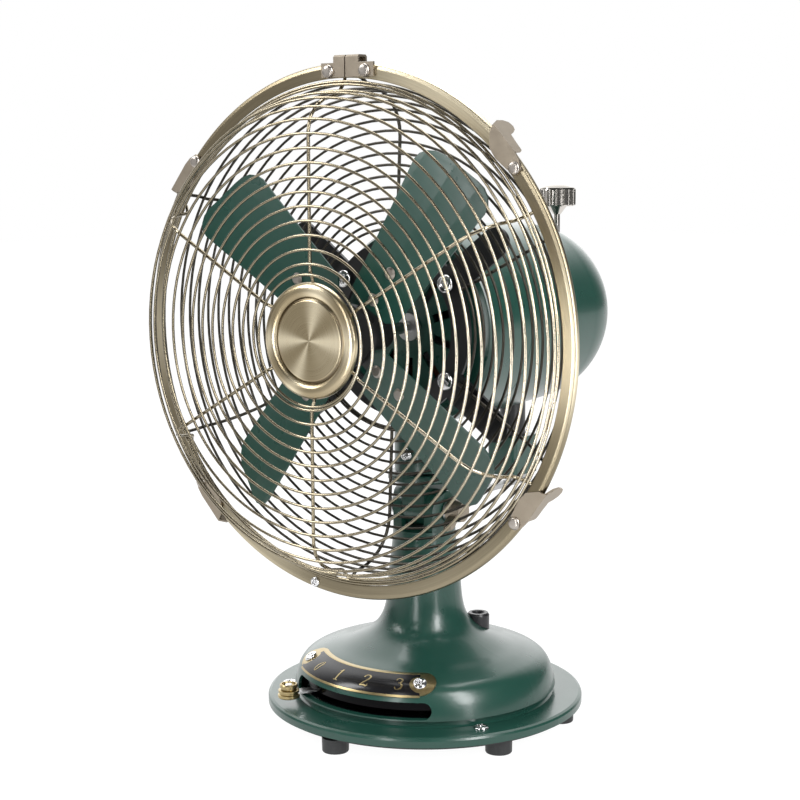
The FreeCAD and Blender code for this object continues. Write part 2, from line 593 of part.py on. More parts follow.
save("clamp_band", one(band))

latch_rivets = []
for th in LATCH_TH:
    head = Part.makeSphere(4.9, on_head(161.9, th, b - 0.07), V(0, -1, 0), 39, 90, 360)
    latch_rivets.append(head.fuse(rod(1.6, on_head(161.9, th, b - 3.3), on_head(161.9, th, b - 0.5))).removeSplitter())
save("latch_rivets", group(latch_rivets))


def latch_sheet(points, x_in, t):
    """Sheet of thickness t standing on the latch's crease, drawn as (along, y)."""
    face = face_of([V(x_in, b + y, HEAD_Z + s) for s, y in points])
    return face.extrude(V(t, 0, 0))


def build_latch(th):
    """Swinging catch: strap on the band's face, flange over its edge, thumb tab."""
    z = HEAD_Z
    outline = [(157.2, 3.0), (159.4, -3.4), (164.4, -3.6), (166.9, 1.6), (167.8, 7.5), (167.8, 28.3),
               (163.0, 26.8), (156.6, 20.0), (155.6, 13.0)]
    strap = face_of([V(x, b - 3.1, z + dz) for x, dz in outline]).extrude(V(0, 1.4, 0))
    flange = [(7.0, -3.1), (7.4, 4.8), (8.4, 5.8), (15.0, 6.2), (20.4, 7.0), (21.8, 11.4), (23.8, 14.6),
              (26.6, 15.8), (29.6, 14.0), (31.0, 9.5), (31.0, 3.0), (28.3, -3.1)]
    body = fuse([strap, latch_sheet(flange, 166.4, 1.4)])
    body.rotate(V(166.4, b, z + 8.4), AY, -2.5)
    body = body.cut(rod(1.6 + FIT, V(161.9, b - 6, z), V(161.9, b + 2, z)))
    body.rotate(V(0, 0, z), AY, -th)
    return one(body)


for n, th in enumerate(LATCH_TH):
    save("band_latch_%d" % (n + 1), build_latch(th))

clasp = []
for x0, x1, u0, u1 in ((-15.3, GAP_X - 0.4, -5.8, GAP_X - 0.4), (GAP_X + 0.4, 24.8, GAP_X + 0.4, 13.3)):
    plate = box(x0, x1, b - 3.0, b - 1.65, HEAD_Z + 157.2, HEAD_Z + 165.8)
    loop = face_of([V(u0, b - 3.0, 165.0), V(u0, b - 3.0, 169.2), V(u0, b - 1.8, 170.4), V(u0, b + 4.6, 170.4),
                    V(u0, b + 5.8, 169.2), V(u0, b + 5.8, 166.4), V(u0, b + 4.5, 166.4), V(u0, b + 4.5, 169.1),
                    V(u0, b - 1.65, 169.1), V(u0, b - 1.65, 165.0)]).extrude(V(u1 - u0, 0, 0))
    loop.translate(V(0, 0, HEAD_Z))
    piece = plate.fuse(loop).removeSplitter()
    clasp.append(one(piece.cut(group([rod(1.6, V(x, b - 5, HEAD_Z + 160.7), V(x, b, HEAD_Z + 160.7)) for x in CLASP_RIVET_X]))))
save("band_clasp", group(clasp))
rivets = []
for x in CLASP_RIVET_X:
    head = Part.makeSphere(5.4, V(x, b + 0.35, HEAD_Z + 160.7), V(0, -1, 0), 39, 90, 360)
    rivets.append(head.fuse(rod(1.6, V(x, b - 3.3, HEAD_Z + 160.7), V(x, b - 0.5, HEAD_Z + 160.7))).removeSplitter())
save("clasp_rivets", group(rivets))
band_screw = Part.makeCone(3.4, 2.4, 1.5, BAND_SCREW.add(V(0, -1.55, 0)), V(0, -1, 0))
band_screw = band_screw.fuse(rod(1.6, BAND_SCREW.add(V(0, -1.6, 0)), BAND_SCREW.add(V(0, -0.5, 0))))
save("band_screw", one(band_screw))

# --- badge: spun brass cap over the spokes ---
g = BAND_Y - 33.1
badge = lathe_head([(0, g - 3.4), (24.6, g - 3.4), (25.2, g - 2.6), (26.2, g - 2.6), (27.6, g - 4.3), (30.6, g - 4.8),
                    (33.6, g - 3.6), (35.4, g - 1.4), (35.7, g), (34.7, g), (32.6, g - 2.2), (30.0, g - 3.4),
                    (26.8, g - 1.6), (24.0, g - 1.6), (23.4, g - 2.2), (0, g - 2.2)])
save("badge", one(badge))
clamp = lathe_head([(0, g + 3.5), (29.0, g + 3.5), (29.0, g + 2.3), (22.0, g + 2.3), (20.0, g - 0.5), (0, g - 0.5)])
save("badge_clamp", one(clamp))

# --- rotor: shaft, hub and four blades ---
hub_front = BAND_Y - 6.0
# the worm is cut in the shaft; its thread is drawn as plain rings
rings = [(0, BAND_Y - 10.0), (SHAFT_R - 0.6, BAND_Y - 10.0), (SHAFT_R, BAND_Y - 9.4)]
rings += [(SHAFT_R, GEAR_Y - 12)]
for k in range(8):
    y = GEAR_Y - 12 + 3.0 * k
    rings += [(7.4, y), (7.4, y + 1.0), (5.6, y + 1.4), (5.6, y + 2.6)]
rings += [(5.6, GEAR_Y + 12), (SHAFT_R, GEAR_Y + 12), (SHAFT_R, 126.0), (0, 126.0)]
save("motor_shaft", one(lathe_head(rings)))
save("rotor_core", one(tube(24.4, SHAFT_R, V(0, 8, HEAD_Z), V(0, 52, HEAD_Z))))


def blade_slope(r):
    """Pitch of the blade in degrees at radius r."""
    return 12.4 + (r - 30.0) * 0.101


def build_blade(th):
    """Sheet blade: twisted and cambered, trimmed to a rounded paddle."""
    sections = []
    for r in (22.0, 58.0, 95.0, 138.0):
        q = math.radians(blade_slope(r))
        top = []
        low = []
        for t in (-34.0, -17.0, 0.0, 17.0, 34.0):
            y = BAND_Y + 0.0 - t * math.tan(q) + 2.2 * (1 - (t / 34.0) ** 2) - 1.2
            top.append(V(r, y - 0.6, HEAD_Z + t))
            low.append(V(r, y + 0.6, HEAD_Z + t))
        pts = top + low[::-1]
        sections.append(Part.makePolygon(pts + [pts[0]]))
    sheet = Part.makeLoft(sections, True, True)
    low_edge = -22.6
    high_edge = 13.4
    out = [V(24, -200, low_edge + 6), V(30, -200, low_edge)]
    out += [V(BLADE_TIP - 15.7, -200, -28.6)]
    for k in range(1, 5):
        q = math.radians(-90 + 90 * k / 4)
        out.append(V(BLADE_TIP - 15.7 + 14.0 * math.cos(q), -200, -14.6 + 14.0 * math.sin(q)))
    for k in range(0, 5):
        q = math.radians(90 * k / 4)
        out.append(V(BLADE_TIP - 12.5 + 12.5 * math.cos(q), -200, 8.0 + 12.5 * math.sin(q)))
    out += [V(30, -200, high_edge), V(24, -200, high_edge - 6)]
    trim = face_of([V(p.x, p.y, p.z + HEAD_Z) for p in out]).extrude(V(0, 240, 0))
    blade = sheet.common(trim)
    holes = [rod(2.2, V(r, -200, HEAD_Z - 2), V(r, 0, HEAD_Z - 2)) for r in RIVET_R]
    blade = blade.cut(group(holes))
    blade.rotate(V(0, 0, HEAD_Z), AY, -th)
    return one(blade)


RIVET_R = (31.0, 52.0)

blades = [build_blade(th) for th in BLADE_TH]
for n, blade in enumerate(blades):
    save("fan_blade_%d" % (n + 1), blade)


def blade_back(r, t):
    """y of the blade's rear face at radius r and offset t."""
    q = math.radians(blade_slope(r))
    return BAND_Y - t * math.tan(q) + 2.2 * (1 - (t / 34.0) ** 2) - 1.2 + 0.6


def build_hub():
    """Collar on the shaft with four arms that carry the blades."""
    arms = []
    for th in BLADE_TH:
        pts = []
        for t in (-9.0, 5.0):
            pts.append(V(14.0, blade_back(40.0, t) + 0.35, HEAD_Z + t))
        q = [pts[0], pts[1], pts[1].add(V(0, 2.0, 0)), pts[0].add(V(0, 2.0, 0))]
        strip = face_of(q).extrude(V(46.0, 0, 0))
        strip = strip.cut(group([rod(2.2, V(r, -200, HEAD_Z - 2), V(r, 0, HEAD_Z - 2)) for r in RIVET_R]))
        strip.rotate(V(0, 0, HEAD_Z), AY, -th)
        arms.append(strip)
    disc = lathe_head([(0, BAND_Y - 0.2), (19.5, BAND_Y - 0.2), (19.5, BAND_Y + 5.2), (11.5, BAND_Y + 7.0),
                       (11.5, BAND_Y + 34.0), (0, BAND_Y + 34.0)])
    hub = fuse([disc] + arms)
    hub = hub.cut(rod(SHAFT_R, V(0, -150, HEAD_Z), V(0, 0, HEAD_Z)))
    hub = hub.cut(rod(1.8, V(0, BAND_Y + 26.0, HEAD_Z), V(0, BAND_Y + 26.0, HEAD_Z + 20)))
    return one(hub)


hub = build_hub()
save("fan_hub", hub)
hub_screw = rod(1.75, V(0, BAND_Y + 26.0, HEAD_Z + SHAFT_R), V(0, BAND_Y + 26.0, HEAD_Z + 13.0))
save("hub_set_screw", one(hub_screw))

blade_rivets = []
for th, blade in zip(BLADE_TH, blades):
    for r in RIVET_R:
        y = blade_back(r, -2.0)
        front = Part.makeCone(4.0, 2.6, 1.4, V(r, y - 1.7, HEAD_Z - 2.0), V(0, -1, 0))
        stem = rod(2.15, V(r, y - 1.8, HEAD_Z - 2.0), V(r, y + 3.2, HEAD_Z - 2.0))
        tail = Part.makeCone(3.8, 2.6, 1.2, V(r, y + 3.0, HEAD_Z - 2.0), V(0, 1, 0))
        rivet = front.fuse([stem, tail]).removeSplitter()
        rivet.rotate(V(0, 0, HEAD_Z), AY, -th)
        blade_rivets.append(one(rivet.cut(group([blade, hub]))))
save("blade_rivets", group(blade_rivets))
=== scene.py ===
import math

import bmesh
import bpy
from mathutils import Matrix, Vector
from mathutils.bvhtree import BVHTree


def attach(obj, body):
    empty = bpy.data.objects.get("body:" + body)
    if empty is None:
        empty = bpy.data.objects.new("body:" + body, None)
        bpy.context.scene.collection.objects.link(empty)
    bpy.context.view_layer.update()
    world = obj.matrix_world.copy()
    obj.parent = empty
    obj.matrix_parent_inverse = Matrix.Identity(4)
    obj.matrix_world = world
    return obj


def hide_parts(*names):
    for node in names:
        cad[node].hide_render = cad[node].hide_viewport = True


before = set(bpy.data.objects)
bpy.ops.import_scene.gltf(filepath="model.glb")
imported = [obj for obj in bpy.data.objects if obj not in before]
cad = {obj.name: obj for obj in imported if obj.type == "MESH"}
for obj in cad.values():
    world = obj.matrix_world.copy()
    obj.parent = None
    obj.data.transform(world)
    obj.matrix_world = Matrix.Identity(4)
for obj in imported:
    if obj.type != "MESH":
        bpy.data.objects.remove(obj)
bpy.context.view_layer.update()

mm = 0.001

HEAD_Z = 262.4 * mm         # height of the fan's axis
BAND = -80.65               # y of the band's front edge, in millimetres
FRONT_FACE = BAND - 36.5    # y of the front guard's flat face, in millimetres
REAR_FACE = -33.4           # y of the rear guard's flat face, in millimetres
RIM_RADIUS = 162.0          # centre line of the guards' rims, in millimetres
CATCHES = (39.5, 138.8, 220.5, 321.1)   # the band's four catches, in degrees about the fan's axis
REAR_FLAT, REAR_CORNER, REAR_DEPTH = 122.0, 29.0, 34.0  # rear guard's flat radius and elliptical corner
SPOKE_GAP = 2.14            # from a spiral's centre line to its spokes', in millimetres
PLATE_ENDS = (-40.3, 33.9)              # azimuths of the dial plate's two screws, in degrees
PLATE_RADIUS, PLATE_Z = 76.9, 42.6      # and where they sit on the dome, in millimetres
STEPS_A_TURN = 90.0         # points on each turn of a guard's wire


# --- shader maths -------------------------------------------------------

class Value:
    """A shader socket that can stand in a sum."""

    def __init__(self, bench, socket):
        self.bench = bench
        self.socket = socket

    def _maths(self, operation, *operands):
        return self.bench.node("ShaderNodeMath", {"operation": operation}, dict(enumerate(operands)))["Value"]

    def __add__(self, other): return self._maths("ADD", self, other)
    def __radd__(self, other): return self._maths("ADD", other, self)
    def __sub__(self, other): return self._maths("SUBTRACT", self, other)
    def __rsub__(self, other): return self._maths("SUBTRACT", other, self)
    def __mul__(self, other): return self._maths("MULTIPLY", self, other)
    def __rmul__(self, other): return self._maths("MULTIPLY", other, self)
    def __truediv__(self, other): return self._maths("DIVIDE", self, other)
    def __pow__(self, other): return self._maths("POWER", self, other)
    def greater(self, other): return self._maths("GREATER_THAN", self, other)
    def less(self, other): return self._maths("LESS_THAN", self, other)
    def above(self, other): return self._maths("MAXIMUM", self, other)
    def below(self, other): return self._maths("MINIMUM", self, other)
    def size(self): return self._maths("ABSOLUTE", self)
    def cosine(self): return self._maths("COSINE", self)
    def sine(self): return self._maths("SINE", self)
    def root(self): return self._maths("SQRT", self)
    def arc(self, other): return self._maths("ARCTAN2", self, other)


class Outputs:
    """The outputs of one node, read by name."""

    def __init__(self, bench, node):
        self.bench = bench
        self.node = node

    def __getitem__(self, name):
        return Value(self.bench, self.node.outputs[name])


class Bench:
    """A node tree that is being put together."""

    def __init__(self, tree):
        self.tree = tree

    def plug(self, socket, value):
        """Join a value, or each of a list of values, to a socket, or set it to a constant."""
        if isinstance(value, Value):
            self.tree.links.new(value.socket, socket)
        elif isinstance(value, list):
            for each in value:
                self.tree.links.new(each.socket, socket)
        else:
            socket.default_value = value

    def node(self, kind, settings=None, inputs=None):
        """New node with its settings and inputs, returned as its outputs."""
        made = self.tree.nodes.new(kind)
        for key, value in (settings or {}).items():
            setattr(made, key, value)
        for key, value in (inputs or {}).items():
            self.plug(made.inputs[key], value)
        return Outputs(self, made)

    def vector(self, x, y, z):
        return self.node("ShaderNodeCombineXYZ", None, {0: x, 1: y, 2: z})["Vector"]

    def parts(self, vector):
        """x, y and z of a vector."""
        split = self.node("ShaderNodeSeparateXYZ", None, {0: vector})
        return split["X"], split["Y"], split["Z"]

    def dot(self, vector, way):
        return self.node("ShaderNodeVectorMath", {"operation": "DOT_PRODUCT"},
                         {0: vector, 1: Vector(way)})["Value"]

    def eased(self, value, start, end, low, high):
        """Low before start, high after end, with a soft step between."""
        return self.node("ShaderNodeMapRange", {"interpolation_type": "SMOOTHSTEP"},
                         {"Value": value, "From Min": start, "From Max": end,
                          "To Min": low, "To Max": high})["Result"]


class Finish(Bench):
    """One surface finish: a material, its shader and the nodes behind it."""

    def __init__(self, name, colour, metallic=0.0, roughness=0.5, **fixed):
        self.material = bpy.data.materials.new(name)
        self.material.use_nodes = True
        super().__init__(self.material.node_tree)
        self.shader = self.tree.nodes["Principled BSDF"]
        self.set("Base Color", (*colour, 1.0))
        self.set("Metallic", metallic)
        self.set("Roughness", roughness)
        for socket, value in fixed.items():
            self.set(socket.replace("_", " "), value)

    def set(self, name, value):
        """Give one of the shader's inputs a value."""
        self.plug(self.shader.inputs[name], value)
        return self

    def place(self):
        """Point on the surface, in metres."""
        return self.node("ShaderNodeTexCoord")["Object"]

    def noise(self, where, scale, detail=3.0, roughness=0.55):
        return self.node("ShaderNodeTexNoise", None,
                         {"Vector": where, "Scale": scale, "Detail": detail,
                          "Roughness": roughness})["Fac"]

    def between(self, amount, low, high):
        """Mix of two colours."""
        made = self.tree.nodes.new("ShaderNodeMix")
        made.data_type = "RGBA"
        self.plug(made.inputs["Factor"], amount)
        for socket, colour in ((made.inputs[6], low), (made.inputs[7], high)):
            self.plug(socket, colour if isinstance(colour, Value) else (*colour, 1.0))
        return Value(self, made.outputs[2])

    def bump(self, height, distance, strength=1.0):
        """Raise the surface by a height, over a distance in metres."""
        normal = self.node("ShaderNodeBump", None,
                           {"Height": height, "Distance": distance, "Strength": strength})["Normal"]
        return self.set("Normal", normal)


def around(finish, x, y, z, grain, wrap):
    """Place for a noise that is drawn out along circles about the fan's axis."""
    up = z - HEAD_Z
    radius = (x * x + up * up).root()
    return finish.vector(radius * grain, up.arc(x) * wrap, y * grain)


def painted_highlight_sectors(x, z, lobes):
    """Painted highlight: bright sectors round the fan's axis, as metal brushed in circles shows them, each
    (angle in degrees, sharpness, strength).
    """
    turn = (z - HEAD_Z).arc(x)
    total = 0.0
    for angle, sharpness, strength in lobes:
        total = (turn - math.radians(angle)).cosine().above(0.0) ** sharpness * strength + total
    return total.below(1.0)


# --- finishes -----------------------------------------------------------

def green_paint():
    """Deep green enamel under a thin, uneven lacquer."""
    f = Finish("green_paint", (0.009, 0.047, 0.034), roughness=0.3, Specular_IOR_Level=0.5,
               Coat_Roughness=0.1)
    coords = f.place()
    cloud = f.noise(coords, 9.0, 2.0)
    f.set("Base Color", f.between(cloud, (0.0075, 0.041, 0.030), (0.0105, 0.052, 0.038)))
    f.set("Roughness", 0.25 + 0.07 * f.noise(coords, 60.0, 2.0))
    f.set("Coat Weight", 0.14 + 0.08 * f.noise(coords, 25.0, 2.0))
    return f.bump(f.noise(coords, 1400.0, 2.0), 0.00002, 0.3)


def antique_brass():
    """Band: brushed along its length, dark except where painted highlights light sectors of it."""
    f = Finish("antique_brass", (0.25, 0.21, 0.125), metallic=1.0, roughness=0.34)
    coords = f.place()
    x, y, z = f.parts(coords)
    streak = f.noise(around(f, x, y, z, 1500.0, 3.0), 1.0, 3.0, 0.6)
    patch = f.noise(coords, 14.0, 2.0)
    # painted highlight: bright sectors round the band, mixed into its colour
    painted_highlight = painted_highlight_sectors(x, z, ((0, 40.0, 1.0), (64, 14.0, 0.75), (181, 40.0, 0.45), (242, 30.0, 0.45),
                          (300, 8.0, 0.15)))
    dark = f.between(streak, (0.115, 0.092, 0.056), (0.205, 0.17, 0.108))
    pale = f.between(streak, (0.72, 0.62, 0.42), (1.0, 0.91, 0.70))
    f.set("Base Color", f.between((painted_highlight + 0.12 * patch).below(1.0), dark, pale))
    f.set("Roughness", 0.26 + 0.16 * streak)
    return f.bump(streak, 0.00003, 0.5)


def tarnished_brass():
    """Catches and clasp: grey-brown pressed sheet."""
    f = Finish("tarnished_brass", (0.21, 0.18, 0.14), metallic=1.0, roughness=0.42)
    coords = f.place()
    cloud = f.noise(coords, 120.0, 3.0)
    f.set("Base Color", f.between(cloud, (0.30, 0.255, 0.20), (0.40, 0.345, 0.275)))
    f.set("Roughness", 0.34 + 0.14 * cloud)
    return f.bump(f.noise(coords, 1500.0, 2.0), 0.00002, 0.4)


def wire_brass():
    """Front guard: plated wire, with a painted highlight on the right where the windows shine along it."""
    f = Finish("wire_brass", (0.45, 0.39, 0.28), metallic=1.0, roughness=0.22)
    coords = f.place()
    x, y, z = f.parts(coords)
    cloud = f.noise(coords, 90.0, 2.0)
    tone = f.between(cloud, (0.21, 0.18, 0.125), (0.34, 0.295, 0.21))
    # painted highlight: a pale sector on the right side of the guard
    f.set("Base Color", f.between(painted_highlight_sectors(x, z, ((-5, 10.0, 1.0),)), tone, (0.85, 0.77, 0.62)))
    return f.set("Roughness", 0.13 + 0.1 * cloud)


def dark_wire():
    """Rear guard: the same wire, darkened."""
    f = Finish("dark_wire", (0.10, 0.09, 0.072), metallic=1.0, roughness=0.32)
    coords = f.place()
    cloud = f.noise(coords, 90.0, 2.0)
    f.set("Base Color", f.between(cloud, (0.045, 0.042, 0.036), (0.09, 0.082, 0.067)))
    return f.set("Roughness", 0.26 + 0.14 * cloud)


def spun_brass():
    """Badge, turned in a lathe: painted highlights in bright sectors cross its fine rings."""
    f = Finish("spun_brass", (0.30, 0.245, 0.155), metallic=1.0, roughness=0.27)
    x, y, z = f.parts(f.place())
    fine = f.noise(around(f, x, y, z, 2600.0, 0.6), 1.0, 2.0, 0.7)
    # painted highlight: bright sectors round the badge, mixed into its colour
    painted_highlight = painted_highlight_sectors(x, z, ((0, 20.0, 1.0), (182, 30.0, 0.95), (75, 22.0, 0.85), (246, 40.0, 0.75),
                          (320, 6.0, 0.2)))
    dark = f.between(fine, (0.27, 0.215, 0.125), (0.42, 0.345, 0.22))
    pale = f.between(fine, (0.90, 0.77, 0.53), (1.0, 0.90, 0.68))
    up = z - HEAD_Z
    rim = (x * x + up * up).root()
    # painted shade: the step round the disc is darkened
    painted_shade_radius, painted_shade_reach = 25.3 * mm, 1.3 * mm
    clear_of_painted_shade = ((rim - painted_shade_radius).size() / painted_shade_reach).below(1.0)
    f.set("Base Color", f.between(clear_of_painted_shade, (0.09, 0.07, 0.045), f.between(painted_highlight, dark, pale)))
    return f.set("Roughness", 0.22 + 0.14 * fine)


def knob_nickel():
    """Pull knob: smoky plating that is nearly a mirror, with painted shade on its crowned top."""
    f = Finish("knob_nickel", (0.62, 0.59, 0.55), metallic=1.0, roughness=0.1)
    coords = f.place()
    x, y, z = f.parts(coords)
    # painted shade: the crowned top is darker than the flutes
    painted_shade_height = 347.2 * mm
    f.set("Base Color", f.between(z.greater(painted_shade_height), (0.62, 0.59, 0.55), (0.36, 0.34, 0.31)))
    return f.set("Roughness", 0.07 + 0.1 * f.noise(coords, 300.0, 2.0))


def nickel():
    """Soft grey rivets."""
    f = Finish("nickel", (0.42, 0.385, 0.35), metallic=1.0, roughness=0.3)
    coords = f.place()
    return f.set("Roughness", 0.26 + 0.12 * f.noise(coords, 300.0, 2.0))


def chrome():
    """Screws and the bright shaft."""
    f = Finish("chrome", (0.72, 0.72, 0.73), metallic=1.0, roughness=0.12)
    coords = f.place()
    return f.set("Roughness", 0.09 + 0.12 * f.noise(coords, 300.0, 2.0))


def steel():
    """Plain turned and pressed steel."""
    f = Finish("steel", (0.50, 0.50, 0.50), metallic=1.0, roughness=0.3)
    coords = f.place()
    grain = f.noise(coords, 500.0, 3.0)
    f.set("Roughness", 0.24 + 0.2 * grain)
    return f.bump(grain, 0.00002, 0.4)


def black_paint():
    """Bracket, hub and base plate."""
    f = Finish("black_paint", (0.012, 0.012, 0.013), roughness=0.34)
    coords = f.place()
    f.set("Roughness", 0.30 + 0.12 * f.noise(coords, 80.0, 2.0))
    return f.bump(f.noise(coords, 1600.0, 2.0), 0.00002, 0.4)


def black_moulding():
    """Moulded gland, grommet and switch."""
    f = Finish("black_moulding", (0.014, 0.014, 0.016), roughness=0.32)
    coords = f.place()
    return f.set("Roughness", 0.26 + 0.16 * f.noise(coords, 120.0, 2.0))


def liner_black():
    """Liner that makes the lever's slot look empty."""
    f = Finish("liner_black", (0.001, 0.001, 0.0015), roughness=0.2, Specular_IOR_Level=0.08)
    coords = f.place()
    return f.set("Roughness", 0.08 + 0.05 * f.noise(coords, 60.0, 2.0))


def foot_rubber():
    """Feet, dull with a fine grain."""
    f = Finish("foot_rubber", (0.016, 0.017, 0.018), roughness=0.5)
    coords = f.place()
    grain = f.noise(coords, 900.0, 3.0)
    f.set("Roughness", 0.42 + 0.2 * grain)
    return f.bump(grain, 0.00004, 0.5)


def laminate():
    """Stacked iron sheets of the motor's cores."""
    f = Finish("laminate", (0.10, 0.10, 0.11), metallic=1.0, roughness=0.45)
    x, y, z = f.parts(f.place())
    sheet_waves = 9000.0
    plates = (y * sheet_waves).sine()
    f.set("Base Color", f.between(plates, (0.06, 0.06, 0.065), (0.16, 0.16, 0.165)))
    return f.bump(plates, 0.0001, 0.7)


def varnished_copper():
    """Windings, dark under their varnish."""
    f = Finish("varnished_copper", (0.12, 0.05, 0.025), metallic=1.0, roughness=0.3)
    x, y, z = f.parts(f.place())
    turns = f.noise(around(f, x, y, z, 2600.0, 0.5), 1.0, 1.0)
    f.set("Base Color", f.between(turns, (0.05, 0.02, 0.01), (0.14, 0.06, 0.03)))
    return f.bump(turns, 0.0002, 0.8)


def dial_plate():
    """Brass plate with a black field between its edges and its two screws."""
    f = Finish("dial_plate", (0.01, 0.01, 0.01), roughness=0.2, Specular_IOR_Level=0.3)
    coords = f.place()
    x, y, z = f.parts(coords)
    low_edge, high_edge, boss = 37.75 * mm, 46.72 * mm, 6.7 * mm
    brass = z.less(low_edge).above(z.greater(high_edge))
    for azimuth, way in zip(PLATE_ENDS, (-1.0, 1.0)):
        a = math.radians(azimuth)
        dx = x - PLATE_RADIUS * mm * math.sin(a)
        dy = y + PLATE_RADIUS * mm * math.cos(a)
        dz = z - PLATE_Z * mm
        near = (dx * dx + dy * dy + dz * dz).root().less(boss)
        past = (dx * (math.cos(a) * way) + dy * (math.sin(a) * way)).greater(0.0)
        brass = brass.above(near).above(past)
    grain = f.noise(coords, 400.0, 2.0)
    gold = f.between(grain, (0.27, 0.21, 0.10), (0.40, 0.32, 0.17))
    f.set("Base Color", f.between(brass, (0.006, 0.006, 0.007), gold))
    f.set("Metallic", brass)
    return f.set("Roughness", 0.14 + 0.12 * grain + brass * 0.10)


def gilt():
    """Numerals and lever knob."""
    f = Finish("gilt", (0.55, 0.44, 0.22), metallic=1.0, roughness=0.3)
    coords = f.place()
    grain = f.noise(coords, 400.0, 2.0)
    f.set("Base Color", f.between(grain, (0.32, 0.255, 0.13), (0.45, 0.365, 0.19)))
    return f.set("Roughness", 0.24 + 0.14 * grain)


material = {mix.__name__: mix().material for mix in (
    green_paint, antique_brass, tarnished_brass, wire_brass, dark_wire, spun_brass, nickel, knob_nickel,
    chrome, steel, black_paint, black_moulding, liner_black, foot_rubber, laminate, varnished_copper,
    dial_plate, gilt)}

wears = {
    "green_paint": ["base_shell", "neck_casting", "motor_front_shell", "motor_rear_shell", "gearbox_case",
                    "fan_blade_1", "fan_blade_2", "fan_blade_3", "fan_blade_4"],
    "antique_brass": ["clamp_band"],
    "tarnished_brass": ["band_clasp", "tilt_knob", "band_latch_1", "band_latch_2", "band_latch_3",
                        "band_latch_4"],
    "spun_brass": ["badge"],
    "gilt": ["lever_knob"],
    "dial_plate": ["number_plate"],
    "wire_brass": ["front_guard_wire", "front_guard_spokes"],
    "dark_wire": ["rear_guard_wire", "rear_guard_spokes"],
    "chrome": ["flange_screws", "plate_screws", "neck_set_screw", "bracket_screws", "band_screw",
               "motor_shaft"],
    "knob_nickel": ["oscillation_knob", "knob_stem"],
    "nickel": ["latch_rivets", "clasp_rivets", "blade_rivets"],
    "steel": ["foot_screws", "tilt_bolt", "tilt_washer", "switch_shaft", "lever_arm", "lever_screw",
              "link_anchor_pin", "badge_clamp", "crank_shaft", "oscillation_link",
              "hub_set_screw", "shaft_bearings", "worm_wheel"],
    "black_paint": ["base_plate", "bearing_bridge", "guard_bracket", "gear_pillar", "fan_hub"],
    "black_moulding": ["cord_gland", "speed_switch", "knob_grommet"],
    "liner_black": ["slot_liner"],
    "foot_rubber": ["rubber_feet"],
    "laminate": ["stator_core", "rotor_core"],
    "varnished_copper": ["stator_coils"],
}
for finish, nodes in wears.items():
    for node in nodes:
        cad[node].data.materials.clear()
        cad[node].data.materials.append(material[finish])


# --- pieces made by geometry nodes --------------------------------------

class Pattern(Bench):
    """A geometry tree with named sizes, for pieces that repeat or wind."""

    def __init__(self, name, **sizes):
        super().__init__(bpy.data.node_groups.new(name, "GeometryNodeTree"))
        face = self.tree.interface
        face.new_socket("Geometry", in_out="INPUT", socket_type="NodeSocketGeometry")
        for size, value in sizes.items():
            kind = "NodeSocketInt" if isinstance(value, int) else "NodeSocketFloat"
            face.new_socket(size, in_out="INPUT", socket_type=kind).default_value = value
        face.new_socket("Material", in_out="INPUT", socket_type="NodeSocketMaterial")
        face.new_socket("Geometry", in_out="OUTPUT", socket_type="NodeSocketGeometry")
        self.given = Outputs(self, self.tree.nodes.new("NodeGroupInput"))

    def grid(self, size, across, along):
        """Flat grid in x and y, with its two coordinates."""
        mesh = self.node("GeometryNodeMeshGrid", None, {"Size X": size, "Size Y": size,
                                                        "Vertices X": across, "Vertices Y": along})["Mesh"]
        return mesh, self.parts(self.node("GeometryNodeInputPosition")["Position"])

    def moved(self, geometry, position):
        return self.node("GeometryNodeSetPosition", None,
                         {"Geometry": geometry, "Position": position})["Geometry"]

    def filleted(self, mesh, radius, count):
        """The base mesh's line with its corners rounded."""
        curve = self.node("GeometryNodeMeshToCurve", None, {"Mesh": mesh})["Curve"]
        return self.node("GeometryNodeFilletCurve", {"mode": "POLY"},
                         {"Curve": curve, "Count": count, "Radius": radius, "Limit Radius": True})["Curve"]

    def rod(self, path, radius, sides):
        """Round wire along a path, with closed ends."""
        section = self.node("GeometryNodeCurvePrimitiveCircle", None,
                            {"Resolution": sides, "Radius": radius})["Curve"]
        return self.node("GeometryNodeCurveToMesh", None,
                         {"Curve": path, "Profile Curve": section, "Fill Caps": True})["Mesh"]

    def finish(self, geometry):
        """Every tree ends in real geometry with its material on."""
        real = self.node("GeometryNodeRealizeInstances", None, {"Geometry": geometry})["Geometry"]
        smooth = self.node("GeometryNodeSetShadeSmooth", None, {"Geometry": real})["Geometry"]
        dressed = self.node("GeometryNodeSetMaterial", None,
                            {"Geometry": smooth, "Material": self.given["Material"]})["Geometry"]
        self.plug(self.tree.nodes.new("NodeGroupOutput").inputs[0], dressed)
        return self


def wound_wire():
    """Wire that winds outward over a dish: the base mesh is the dish's (radius, 0, y) profile."""
    p = Pattern("wound_wire", Start=0.04, Pitch=0.0086, Flat_turns=0.93, Start_angle=0.0,
                Steps=1000, Steps_a_turn=STEPS_A_TURN, Wire=0.001)
    g = p.given
    profile = p.node("GeometryNodeMeshToCurve", None, {"Mesh": g["Geometry"]})["Curve"]
    line = p.node("GeometryNodeMeshLine", None, {"Count": g["Steps"]})["Mesh"]
    turns = p.node("GeometryNodeInputIndex")["Index"] / g["Steps_a_turn"]
    climbed = (turns - g["Flat_turns"]).above(0.0) * g["Pitch"] + g["Start"]
    at = p.node("GeometryNodeSampleCurve", {"mode": "LENGTH"},
                {"Curves": profile, "Length": climbed})["Position"]
    radius, unused, depth = p.parts(at)
    angle = g["Start_angle"] - turns * (2 * math.pi)
    path = p.moved(line, p.vector(radius * angle.cosine(), depth, radius * angle.sine() + HEAD_Z))
    path = p.node("GeometryNodeMeshToCurve", None, {"Mesh": path})["Curve"]
    return p.finish(p.rod(path, g["Wire"], 8))


